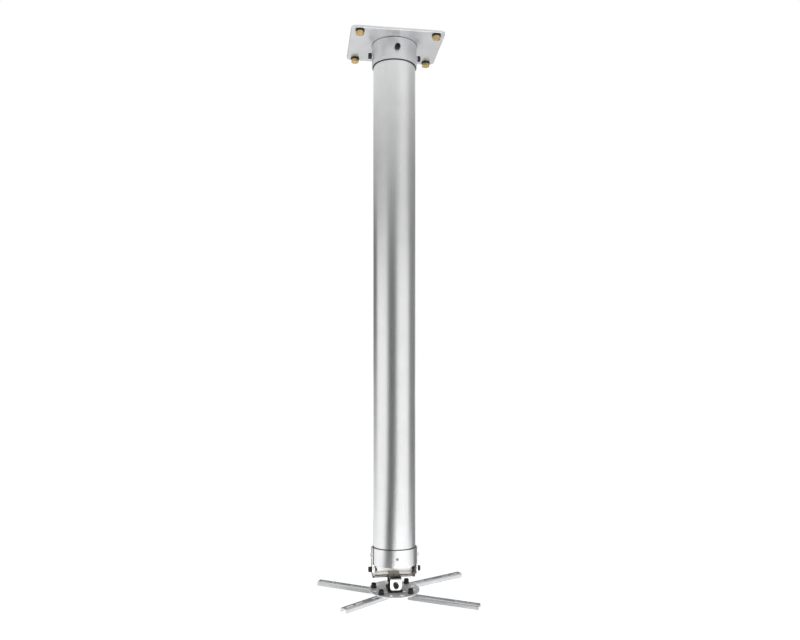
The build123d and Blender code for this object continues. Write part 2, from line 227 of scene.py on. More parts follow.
@dataclass(frozen=True)
class Finish:
    """A metal or painted surface, with tone, gloss and grain that vary over it."""

    slot: str
    light: Colour
    dark: Colour
    metallic: float
    roughness: tuple[float, float]
    grain: Grain
    grain_depth: float
    cloud_scale: float = 30.0
    stain: Colour | None = None
    stain_share: float = 0.0
    fleck: float = 0.22
    variant: str = ""
    cloud_detail: ClassVar[float] = 4.0
    fine_detail: ClassVar[float] = 3.0
    cloud_shift: ClassVar[float] = 3.7
    stain_shift: ClassVar[float] = 9.1
    stain_finer: ClassVar[int] = 7
    grain_strength: ClassVar[float] = 0.35
    made: ClassVar[dict[str, bpy.types.Material]] = {}

    def material(self) -> bpy.types.Material:
        """Finds the finish's material, which is made once.

        Returns:
            The material.
        """
        name = f"{self.slot}{self.variant}_finish"
        if name not in self.made:
            self.made[name] = self.build(name)
        return self.made[name]

    def tone(self, sheet: NodeSheet) -> Socket:
        """Mixes the cloudy base colour.

        Args:
            sheet: the material's node tree.

        Returns:
            The colour.
        """
        cloud = sheet.noise((self.cloud_scale,) * 3, self.cloud_detail, self.cloud_shift)
        tone = sheet.blend(sheet.spread(cloud, 0.0, 1.0), self.dark, self.light)
        if self.stain is not None:
            patch = sheet.noise((self.cloud_scale * self.stain_finer,) * 3, self.fine_detail,
                                self.stain_shift)
            tone = sheet.blend(sheet.spread(patch, 0.0, self.stain_share), tone, self.stain)
        return tone

    def metal(self, sheet: NodeSheet) -> float | Socket:
        """How much of the surface shines like bare metal."""
        return self.metallic

    def build(self, name: str) -> bpy.types.Material:
        """Makes the node material.

        Args:
            name: the material's name.

        Returns:
            A material whose colour, roughness and bump come from noises.
        """
        sheet = NodeSheet.of_material(name)
        grain = sheet.noise(self.grain.value, self.fine_detail)
        fleck = sheet.blend(sheet.spread(grain, 0.0, self.fleck), self.tone(sheet), self.dark)
        bump = sheet.add("Bump", {"Height": grain, "Strength": self.grain_strength,
                                  "Distance": self.grain_depth})
        shader = sheet.add("BsdfPrincipled", {
            "Base Color": fleck,
            "Metallic": self.metal(sheet),
            "Roughness": sheet.spread(grain, *self.roughness),
            "Normal": bump.outputs[0],
        })
        return sheet.finish(shader.outputs[0])


@dataclass(frozen=True)
class LipShadeFinish(Finish):
    """A folded sheet's finish, with painted shade down its lip and on its two cheeks."""

    # Painted shade: the lip's upper tone, the darkest tone (lip's foot, right cheek), the left
    # cheek's grey.
    fold: Colour = (0.45, 0.42, 0.38)
    deep_shade: Colour = (0.07, 0.07, 0.068)
    left_cheek_shade: Colour = (0.70, 0.69, 0.67)
    lip_metal: float = 0.95
    up: Direction = (0, 0, 1)
    back: Direction = (0, 1, 0)
    origin: Direction = (0, 0, 0)
    heights: tuple[float, float] = (-1.0, 0.0)
    depth: float = 0.0
    cheek_x: float = 1.0
    metal_rise: tuple[float, float] = (0.6 * MM, 0.9 * MM)
    lip_fade: float = 0.4 * MM
    back_fade: float = 1 * MM
    cheek_fade: float = 0.1 * MM

    def along(self, sheet: NodeSheet, way: Direction) -> Socket:
        """Distance of the shaded point from the origin along a direction."""
        moved = sheet.add("VectorMath", {0: sheet.place(), 1: self.origin}, operation="SUBTRACT")
        return sheet.dot(moved.outputs[0], way)

    def metal(self, sheet: NodeSheet) -> Socket:
        """Bare metal on the flange and its lip, and the plain share above them."""
        ends = [self.heights[1] + rise for rise in self.metal_rise]
        return sheet.spread(self.along(sheet, self.up), self.lip_metal, self.metallic, *ends)

    def tone(self, sheet: NodeSheet) -> Socket:
        """Mixes the base colour with painted shade down the lip and on the cheeks.

        Args:
            sheet: the material's node tree.

        Returns:
            The colour.
        """
        low, high = self.heights
        rise = self.along(sheet, self.up)
        # Painted shade: the lip darkens from its top down to its foot.
        lip = sheet.blend(sheet.spread(rise, 0.0, 1.0, low, high), self.deep_shade, self.fold)
        below = sheet.spread(rise, 1.0, 0.0, high, high + self.lip_fade)
        ahead = sheet.spread(self.along(sheet, self.back), 1.0, 0.0,
                             self.depth, self.depth + self.back_fade)
        tone = sheet.blend(sheet.maths("MULTIPLY", below, ahead), super().tone(sheet), lip)
        # Painted shade on the cheeks: grey on the left one, near black on the right one.
        side = self.along(sheet, Way.RIGHT.value)
        edge = self.cheek_x + self.cheek_fade
        left = sheet.spread(side, 1.0, 0.0, -edge, -self.cheek_x)
        right = sheet.spread(side, 0.0, 1.0, self.cheek_x, edge)
        return sheet.blend(right, sheet.blend(left, tone, self.left_cheek_shade), self.deep_shade)


@dataclass(frozen=True)
class TopShadeFinish(Finish):
    """A finish with painted shade: darker on the faces that look up."""

    # Painted shade, on the faces that look up.
    top: Colour = (0.19, 0.175, 0.155)
    up: Direction = (0, 0, 1)
    looks_up: tuple[float, float] = (0.6, 0.9)

    def tone(self, sheet: NodeSheet) -> Socket:
        """Mixes the base colour with the painted shade of the upper faces.

        Args:
            sheet: the material's node tree.

        Returns:
            The colour.
        """
        facing = sheet.dot(sheet.add("TexCoord").outputs["Normal"], self.up)
        share = sheet.spread(facing, 0.0, 1.0, *self.looks_up)
        return sheet.blend(share, super().tone(sheet), self.top)


@dataclass(frozen=True)
class BoreShadeFinish(Finish):
    """A tube's finish with painted shade: dark inside its bore."""

    # Painted shade inside the bore.
    inside: Colour = (0.03, 0.03, 0.032)
    bore_r: float = 0.0
    bore_fade: tuple[float, float] = (0.2 * MM, 0.6 * MM)

    def tone(self, sheet: NodeSheet) -> Socket:
        """Mixes the outer colour with the bore's painted shade.

        Args:
            sheet: the material's node tree.

        Returns:
            The colour.
        """
        level = sheet.add("VectorMath", {0: sheet.place(), 1: (1, 1, 0)}, operation="MULTIPLY")
        radius = sheet.add("VectorMath", {0: level.outputs[0]}, operation="LENGTH")
        ends = [self.bore_r + fade for fade in self.bore_fade]
        share = sheet.spread(radius.outputs["Value"], 1.0, 0.0, *ends)
        return sheet.blend(share, super().tone(sheet), self.inside)


ZINC_PLATE: dict[str, Any] = {
    "slot": "zinc_steel", "light": (0.88, 0.87, 0.85), "dark": (0.83, 0.82, 0.80), "metallic": 1.0,
    "roughness": (0.23, 0.26), "grain": Grain.PEEL, "grain_depth": 0.0005 * MM, "fleck": 0.08,
}
FINISHES: dict[str, Finish] = {
    finish.slot: finish for finish in (
        Finish("silver_paint", (0.76, 0.77, 0.78), (0.69, 0.70, 0.71), 0.8, (0.36, 0.44),
               Grain.PEEL, 0.012 * MM),
        BoreShadeFinish("satin_aluminium", (0.87, 0.875, 0.88), (0.82, 0.825, 0.83), 1.0, (0.27, 0.31),
                   Grain.DRAWN_DOWN, 0.003 * MM, fleck=0.07, bore_r=35.5 * MM),
        Finish(**ZINC_PLATE),
        Finish("yellow_zinc", (0.72, 0.52, 0.20), (0.46, 0.30, 0.09), 1.0, (0.18, 0.30),
               Grain.EVEN, 0.003 * MM, 120.0, (0.74, 0.60, 0.40), 0.35),
        Finish("black_oxide", (0.022, 0.022, 0.024), (0.010, 0.010, 0.011), 0.35, (0.34, 0.48),
               Grain.EVEN, 0.008 * MM, 120.0),
        Finish("dark_steel", (0.34, 0.34, 0.34), (0.22, 0.22, 0.22), 1.0, (0.30, 0.44),
               Grain.EVEN, 0.008 * MM, 120.0),
    )
}


def node_slot(node: str) -> str:
    """The record's material slot of a CAD node."""
    return frame["nodes"][node].material_slots[0].name.split(".")[0]


def node_body(node: str) -> str:
    """The body that a CAD node rides on."""
    return frame["nodes"][node]["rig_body"]


def collar_bore_r() -> float:
    """Radius of the collars' bores, a sliding fit on the tube."""
    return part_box("tube")[1].x + COLLAR_GAP


def seat_matrix(origin: Vector, axis: Vector, heading: Vector) -> Matrix:
    """Places a fastener on its seat.

    Args:
        origin: the seat's centre.
        axis: the way out of the seat, the fastener's own Z.
        heading: a direction near the fastener's own X.

    Returns:
        The matrix from the fastener's own frame to the model's.
    """
    z = axis.normalized()
    x = (heading - heading.dot(z) * z).normalized()
    y = z.cross(x)
    return Matrix.Translation(origin) @ Matrix((x, y, z)).transposed().to_4x4()


def places_round(node: str, ways: tuple[Way, ...], reach: float,
                 heading: Way = Way.UP) -> list[Matrix]:
    """Places fasteners that point away from the tube's axis.

    Args:
        node: CAD node of the fasteners, which gives their height.
        ways: the way in which each of them points.
        reach: distance of their seats from the axis.
        heading: a direction near their own X.

    Returns:
        The matrix of each fastener.
    """
    low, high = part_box(node)
    lift = Vector((0, 0, (low.z + high.z) / 2))
    return [seat_matrix(way.vector * reach + lift, way.vector, heading.vector) for way in ways]


def circle(radius: float, height: float) -> RingShape:
    """A round ring."""
    return lambda angle: (radius, height)


def knurled(radius: float, height: float, depth: float, ridges: int) -> RingShape:
    """A ring of small ridges."""
    return lambda angle: (radius - depth * (0.5 - 0.5 * math.cos(ridges * angle)), height)


def hexagon(across_flats: float, height: float) -> RingShape:
    """A hexagonal ring, with a corner on the X axis."""
    def shape(angle: float) -> tuple[float, float]:
        """Radius and height at an angle."""
        from_flat = angle % SIXTH_TURN - SIXTH_TURN / 2
        return across_flats / 2 / math.cos(from_flat), height
    return shape


def hex_shoulder(across_flats: float, height: float, rise: float) -> RingShape:
    """The curved edge where a hexagon's sides meet the cone that trims its corners.

    Args:
        across_flats: size of the hexagon.
        height: height of the face beyond the cone.
        rise: 1 for a face above the sides, -1 for one below them.

    Returns:
        The ring.
    """
    side = hexagon(across_flats, height)

    def shape(angle: float) -> tuple[float, float]:
        """Radius and height at an angle."""
        radius = side(angle)[0]
        over = max(0.0, radius - HEX_FACE * across_flats)
        return radius, height - rise * (over * math.tan(SIXTH_TURN / 2))
    return shape


def thread(radius: float, pitch: float, bottom: float, top: float) -> list[RingShape]:
    """A screw thread as a stack of rings.

    Args:
        radius: radius of the crests.
        pitch: rise in one turn.
        bottom: height of the first ring.
        top: height of the last ring.

    Returns:
        Rings whose radius follows the helix.
    """
    depth = THREAD_DEPTH * pitch
    flank = 1.3
    rings_per_turn = 6
    steps = max(2, math.ceil((top - bottom) / pitch * rings_per_turn))

    def turn(height: float) -> RingShape:
        """The ring at a height."""
        def shape(angle: float) -> tuple[float, float]:
            """Radius and height at an angle."""
            phase = (height / pitch - angle / FULL_TURN) % 1.0
            return radius - depth * abs(2 * phase - 1) ** flank, height
        return shape
    return [turn(bottom + (top - bottom) * step / steps) for step in range(steps + 1)]


def quarter_arc(steps: int, first: int = 0) -> list[tuple[float, float]]:
    """Cosine and sine at the steps of a quarter turn, from the first one on."""
    turns = [math.pi / 2 * step / steps for step in range(first, steps + 1)]
    return [(math.cos(turn), math.sin(turn)) for turn in turns]


def show(name: str, data: bpy.types.ID) -> bpy.types.Object:
    """Puts a new object into the scene.

    Args:
        name: the object's name.
        data: its mesh, lamp or camera.

    Returns:
        The object.
    """
    made = bpy.data.objects.new(name, data)
    bpy.context.scene.collection.objects.link(made)
    return made


@dataclass
class MeshDraft:
    """Vertices and faces that are gathered ring by ring and then become one mesh."""

    segments: int = SEGMENTS
    vertices: list[Vector] = field(default_factory=list)
    faces: list[tuple[int, ...]] = field(default_factory=list)

    def stack(self, rings: list[RingShape], place: Matrix, looped: bool = False) -> None:
        """Adds a surface through rings that stand above each other.

        Args:
            rings: ring shapes, from one end of the surface to the other.
            place: matrix from the fastener's frame to the model's.
            looped: whether the last ring joins the first, as on a nut, and neither is capped.
        """
        first = len(self.vertices)
        count = self.segments
        for ring in rings:
            for step in range(count):
                angle = FULL_TURN * step / count
                radius, height = ring(angle)
                point = Vector((radius * math.cos(angle), radius * math.sin(angle), height))
                self.vertices.append(place @ point)
        levels = [first + count * level for level in range(len(rings))]
        pairs = list(zip(levels, levels[1:]))
        if looped:
            pairs.append((levels[-1], levels[0]))
        else:
            self.faces.append(tuple(levels[0] + step for step in reversed(range(count))))
            self.faces.append(tuple(levels[-1] + step for step in range(count)))
        for low, high in pairs:
            for step in range(count):
                after = (step + 1) % count
                self.faces.append((low + step, low + after, high + after, high + step))

    def prism(self, outline: list[Vector], along: Vector) -> None:
        """Adds a straight bar.

        Args:
            outline: corners of one end, in the model's frame.
            along: from that end to the other.
        """
        first, count = len(self.vertices), len(outline)
        self.vertices += outline + [corner + along for corner in outline]
        near = list(range(first, first + count))
        if (outline[1] - outline[0]).cross(outline[2] - outline[1]).dot(along) > 0:
            near.reverse()
        self.faces.append(tuple(near))
        self.faces.append(tuple(corner + count for corner in reversed(near)))
        for here, after in zip(near, near[1:] + near[:1]):
            self.faces.append((after, here, here + count, after + count))

    def piece(self, name: str) -> bpy.types.Object:
        """Turns the draft into an object.

        Args:
            name: the object's name.

        Returns:
            A smooth-shaded mesh object with sharp edges kept.
        """
        mesh = bpy.data.meshes.new(name)
        mesh.from_pydata([tuple(point) for point in self.vertices], [], self.faces)
        mesh.update()
        mesh.shade_smooth()
        mesh.set_sharp_from_angle(angle=SHARP_ANGLE)
        return show(name, mesh)


def stand_in(name: str, node: str, rings: list[RingShape], places: list[Matrix],
             looped: bool = False, segments: int = SEGMENTS, finish: Finish | None = None) -> None:
    """Builds a detailed piece and lets it stand for a CAD node.

    Args:
        name: the piece's name.
        node: the CAD node that it replaces.
        rings: ring shapes of one item, from one end to the other.
        places: matrix of each item from its own frame to the model's.
        looped: whether the last ring joins the first, as on a nut.
        segments: steps round each ring.
        finish: a finish of the piece's own, or None for its slot's.
    """
    draft = MeshDraft(segments)
    for place in places:
        draft.stack(rings, place, looped)
    made = draft.piece(name)
    made.data.materials.append((finish or FINISHES[node_slot(node)]).material())
    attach(made, node_body(node))
    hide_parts(node)
    LOG.info("%s stands for %s", name, node)


def lay_shade_piece(draft: MeshDraft, name: str, carrier: str) -> None:
    """Makes a thin dark piece that stands for shade: painted shadow.

    Args:
        draft: the piece's mesh, in the model's frame.
        name: the piece's name.
        carrier: the CAD node that carries it.
    """
    made = draft.piece(name)
    made.data.materials.append(FINISHES[SHADE_PIECE_SLOT].material())
    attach(made, node_body(carrier))
    LOG.info("%s lies on %s", name, carrier)


def shadow_bead(name: str, collar: str, way: Way, inner: float, end: float,
              size: tuple[float, float] = (1.5 * MM, 1.3 * MM)) -> None:
    """Lays a dark round bead in the corner between a cylinder and a flat face, as painted shadow.

    Args:
        name: the bead's name.
        collar: CAD node of the collar that carries it.
        way: UP or DOWN, the way out of the flat face.
        inner: the cylinder's radius.
        end: height of the flat face.
        size: the bead's width on the face and its rise from it.
    """
    width, rise = size
    rings = [circle(inner, 0.0), circle(inner + width, 0.0)]
    rings += [circle(inner + width * out, rise * up) for out, up in quarter_arc(6, 1)]
    place = seat_matrix(Vector((0, 0, end)), way.vector, Way.RIGHT.vector)
    draft = MeshDraft(FINE_SEGMENTS)
    draft.stack(rings, place, looped=True)
    lay_shade_piece(draft, name, collar)


def true_edges() -> bpy.types.NodeTree:
    """Makes the node group that joins a solid's faces and shades them by their own edges.

    Returns:
        A geometry group that leaves only real edges sharp.
    """
    name = "true_edges"
    if name in bpy.data.node_groups:
        return bpy.data.node_groups[name]
    group = bpy.data.node_groups.new(name, "GeometryNodeTree")
    for way in ("INPUT", "OUTPUT"):
        group.interface.new_socket("Geometry", in_out=way, socket_type="NodeSocketGeometry")
    add = group.nodes.new
    entry, leave = add("NodeGroupInput"), add("NodeGroupOutput")
    join = add("GeometryNodeMergeByDistance")
    join.inputs["Distance"].default_value = WELD_REACH
    plain = add("GeometryNodeRemoveAttribute")
    plain.inputs["Name"].default_value = "custom_normal"
    angle = add("GeometryNodeInputMeshEdgeAngle")
    gentle = add("FunctionNodeCompare")
    gentle.operation = "LESS_THAN"
    gentle.inputs[1].default_value = SHARP_ANGLE
    shade = add("GeometryNodeSetShadeSmooth")
    shade.domain = "EDGE"
    link = group.links.new
    link(entry.outputs[0], join.inputs["Geometry"])
    link(join.outputs[0], plain.inputs["Geometry"])
    link(plain.outputs[0], shade.inputs["Geometry"])
    link(angle.outputs["Unsigned Angle"], gentle.inputs[0])
    link(gentle.outputs[0], shade.inputs["Shade Smooth"])
    link(shade.outputs[0], leave.inputs[0])
    return group


def dress(node: str, edge: float = 0.0, finish: Finish | None = None) -> None:
    """Gives a CAD node its finish and softens its edges.

    Args:
        node: the CAD node.
        edge: width of the softened edges, or 0 to leave them as they are.
        finish: a finish of the node's own, or None for its slot's.
    """
    shown = frame["nodes"][node]
    shown.material_slots[0].material = (finish or FINISHES[node_slot(node)]).material()
    if edge:
        shown.modifiers.new("true_edges", "NODES").node_group = true_edges()
        bevel = shown.modifiers.new("soft_edges", "BEVEL")
        bevel.width = edge
        bevel.segments = 2
        bevel.limit_method = "ANGLE"
        bevel.angle_limit = SHARP_ANGLE
        bevel.harden_normals = True
    LOG.info("%s keeps its solid, with edges of %.2f mm", node, edge / MM)


@dataclass(frozen=True)
class SocketScrew:
    """A screw with a round head and a hexagon socket, an M6 one unless it says otherwise."""

    reach: float
    shank_r: float = 3 * MM
    pitch: float = 1 * MM
    head_r: float = 5 * MM
    head_h: float = 6 * MM
    socket_af: float = 5 * MM
    socket_depth: float = 3 * MM
    mouth: ClassVar[float] = 0.15 * MM
    flare: ClassVar[float] = 1.2
    drill_share: ClassVar[float] = 0.4
    neck: ClassVar[float] = 0.05 * MM

    def shank(self) -> list[RingShape]:
        """Stacks the threaded shank.

        Returns:
            Rings from its tip up to the head's underside.
        """
        point = 0.5 * self.pitch
        tip = [circle(self.shank_r - self.pitch, -self.reach),
               circle(self.shank_r - THREAD_DEPTH * self.pitch, -self.reach + 0.2 * point)]
        return tip + thread(self.shank_r, self.pitch, -self.reach + point, -self.neck)

    def socket(self) -> list[RingShape]:
        """The rings of the socket, from its mouth down to its drilled bottom."""
        floor = self.head_h - self.socket_depth
        return [
            circle(self.socket_af / 2 * self.flare, self.head_h),
            hexagon(self.socket_af, self.head_h - self.mouth),
            hexagon(self.socket_af, floor),
            circle(self.socket_af * self.drill_share, floor - self.mouth),
        ]


@dataclass(frozen=True)
class CapScrew(SocketScrew):
    """A cap screw, with a knurled cylindrical head."""

    ridges: int = 36
    knurl_depth: float = 0.22 * MM
    edge: ClassVar[float] = 0.35 * MM

    def rings(self) -> list[RingShape]:
        """Stacks the whole screw.

        Returns:
            Rings from the shank's tip to the bottom of the socket.
        """
        edge, top = self.edge, self.head_h
        head = [
            circle(self.head_r - edge, 0.0),
            circle(self.head_r, edge),
            circle(self.head_r, 2 * edge),
            knurled(self.head_r, 2.4 * edge, self.knurl_depth, self.ridges),
            knurled(self.head_r, top - 2.6 * edge, self.knurl_depth, self.ridges),
            circle(self.head_r - self.knurl_depth / 2, top - 2.2 * edge),
            circle(self.head_r - edge, top - 0.5 * edge),
            circle(self.head_r - 1.6 * edge, top),
        ]
        return self.shank() + head + self.socket()


@dataclass(frozen=True)
class ButtonScrew(SocketScrew):
    """A button-head screw, with a low domed head."""

    rim: ClassVar[float] = 0.3 * MM

    def rings(self) -> list[RingShape]:
        """Stacks the whole screw.

        Returns:
            Rings from the shank's tip to the bottom of the socket.
        """
        crown = self.head_r * 0.5
        head = [circle(self.head_r - self.rim / 3, 0.0), circle(self.head_r, self.rim)]
        for out, up in quarter_arc(6, 1):
            head.append(circle(crown + (self.head_r - crown) * out,
                               self.rim + (self.head_h - self.rim) * up))
        return self.shank() + head + self.socket()


@dataclass(frozen=True)
class HexNut:
    """A plain hexagon nut, chamfered on both faces, an M6 one unless it says otherwise."""

    height: float
    across_flats: float = 10 * MM
    bore_r: float = 3.05 * MM
    lead: float = 0.35 * MM

    def rings(self) -> list[RingShape]:
        """The nut as a closed loop of rings."""
        face_r = HEX_FACE * self.across_flats
        return [
            circle(self.bore_r + self.lead, 0.0),
            circle(face_r, 0.0),
            hex_shoulder(self.across_flats, 0.0, -1),
            hex_shoulder(self.across_flats, self.height, 1),
            circle(face_r, self.height),
            circle(self.bore_r + self.lead, self.height),
            circle(self.bore_r, self.height - self.lead),
            circle(self.bore_r, self.lead),
        ]


@dataclass(frozen=True)
class KnurledNut:
    """A tall round nut on a low wider foot, ridged for the fingers and rounded at its top."""

    body_r: float = 4.5 * MM
    height: float = 8.5 * MM
    bore_r: float = 3.05 * MM
    foot_r: float = 5.4 * MM
    foot_h: float = 1.5 * MM
    ridges: int = 24
    ridge_depth: float = 0.3 * MM
    lead: float = 0.35 * MM
    edge: float = 0.3 * MM
    crown: float = 1.2 * MM

    def rings(self) -> list[RingShape]:
        """Stacks the nut.

        Returns:
            A closed loop of rings.
        """
        edge, shoulder = self.edge, self.height - self.crown
        rings = [
            circle(self.bore_r + self.lead, 0.0),
            circle(self.foot_r - edge, 0.0),
            circle(self.foot_r, edge),
            circle(self.foot_r, self.foot_h - edge),
            circle(self.foot_r - edge, self.foot_h),
            circle(self.body_r, self.foot_h),
            circle(self.body_r, self.foot_h + edge),
            knurled(self.body_r, self.foot_h + 1.5 * edge, self.ridge_depth, self.ridges),
            knurled(self.body_r, shoulder - edge, self.ridge_depth, self.ridges),
        ]
        rings += [circle(self.body_r - self.crown * (1 - out), shoulder + self.crown * up)
                  for out, up in quarter_arc(4)]
        return rings + [
            circle(self.bore_r + self.lead, self.height),
            circle(self.bore_r, self.height - self.lead),
            circle(self.bore_r, self.lead),
        ]


@dataclass(frozen=True)
class HexScrew:
    """A hexagon screw. The head stands above the seat and the shank goes down from it."""

    across_flats: float
    head_h: float
    shank_r: float
    grip: float
    thread_r: float
    pitch: float
    thread_length: float
    face_h: ClassVar[float] = 0.2 * MM
    dish: ClassVar[float] = 0.25 * MM
    dish_shares: ClassVar[tuple[float, float]] = (0.36, 0.33)
    neck: ClassVar[float] = 0.02 * MM

    def rings(self) -> list[RingShape]:
        """Stacks the whole screw.

        Returns:
            Rings from the thread's tip to the dished top of the head.
        """
        face_r = HEX_FACE * self.across_flats
        tip = -self.grip - self.thread_length
        point = 0.4 * self.pitch
        rim_r, dish_r = (share * self.across_flats for share in self.dish_shares)
        return [
            circle(self.thread_r - self.pitch, tip),
            circle(self.thread_r - THREAD_DEPTH * self.pitch, tip + point / 4),
            *thread(self.thread_r, self.pitch, tip + point, -self.grip),
            circle(self.shank_r, -self.grip),
            circle(self.shank_r, -self.neck),
            circle(face_r, 0.0),
            circle(face_r, self.face_h),
            hex_shoulder(self.across_flats, self.face_h, -1),
            hex_shoulder(self.across_flats, self.head_h, 1),
            circle(face_r, self.head_h),
            circle(rim_r, self.head_h),
            circle(dish_r, self.head_h - self.dish),
        ]


@dataclass
class CeilingFixing:
    """The plate on the ceiling, its collar, and the screws of both."""

    washer_r: float = 8.0 * MM
    washer_bore_r: float = 4.5 * MM
    washer_t: float = 2.4 * MM
    washer_edge: float = 0.3 * MM
    stand_out: float = 3.4 * MM
    plate_t: float = 4.0 * MM
    screw_turn: float = 0.55
    collar_wall: float = 2.7 * MM
    # Size of the dark bead under the plate, which is painted shadow.
    plate_bead: tuple[float, float] = (0.5 * MM, 0.6 * MM)

    def corners(self) -> list[Vector]:
        """Finds the washers under the plate's corners.

        Returns:
            The centres of their upper faces.
        """
        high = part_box("ceiling_washers")[1]
        reach_x, reach_y = high.x - self.washer_r, high.y - self.washer_r
        return [Vector((x, y, high.z)) for x in (-reach_x, reach_x) for y in (-reach_y, reach_y)]

    def build_washers(self) -> None:
        """Builds the four washers, with their soft edge away from the plate."""
        outer, bore, top, edge = self.washer_r, self.washer_bore_r, self.washer_t, self.washer_edge
        rings = [
            circle(bore, 0.0),
            circle(outer, 0.0),
            circle(outer, top - edge),
            circle(outer - 0.3 * edge, top - 0.3 * edge),
            circle(outer - edge, top),
            circle(bore + edge, top),
            circle(bore, top - edge),
        ]
        places = [seat_matrix(corner, Way.DOWN.vector, Way.RIGHT.vector)
                  for corner in self.corners()]
        stand_in("ceiling_washer_set", "ceiling_washers", rings, places, looped=True)

    def build_screws(self) -> None:
        """Builds the four hexagon screws, with their threads above the plate."""
        screw = HexScrew(across_flats=13 * MM, head_h=5.3 * MM, shank_r=4 * MM,
                         grip=self.washer_t + self.plate_t, thread_r=3.6 * MM, pitch=1.0 * MM,
                         thread_length=self.stand_out)
        places = []
        for number, corner in enumerate(self.corners()):
            seat = corner - Vector((0, 0, self.washer_t))
            turned = Matrix.Rotation(self.screw_turn * number, 3, "Z") @ Way.RIGHT.vector
            places.append(seat_matrix(seat, Way.DOWN.vector, turned))
        stand_in("ceiling_screw_set", "ceiling_screws", screw.rings(), places)

    def build_clamp_screws(self) -> None:
        """Builds the four cap screws that clamp the tube."""
        seat_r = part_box("ceiling_collar")[1].x
        screw = CapScrew(seat_r - collar_bore_r())
        ways = (Way.RIGHT, Way.REAR, Way.LEFT, Way.FRONT)
        places = places_round("clamp_screws", ways, seat_r)
        stand_in("clamp_screw_set", "clamp_screws", screw.rings(), places)

    def build(self) -> None:
        """Builds and dresses the whole fixing."""
        dress("ceiling_plate")
        dress("ceiling_collar")
        # Dark beads at the collar's lower rim and round it under the plate: painted shadow.
        shadow_bead("upper_shadow_bead", "ceiling_collar", Way.DOWN, collar_bore_r(),
                  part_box("ceiling_collar")[0].z)
        shadow_bead("plate_shadow_bead", "ceiling_collar", Way.DOWN,
                  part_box("tube")[1].x + self.collar_wall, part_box("ceiling_plate")[0].z,
                  self.plate_bead)
        self.build_washers()
        self.build_screws()
        self.build_clamp_screws()


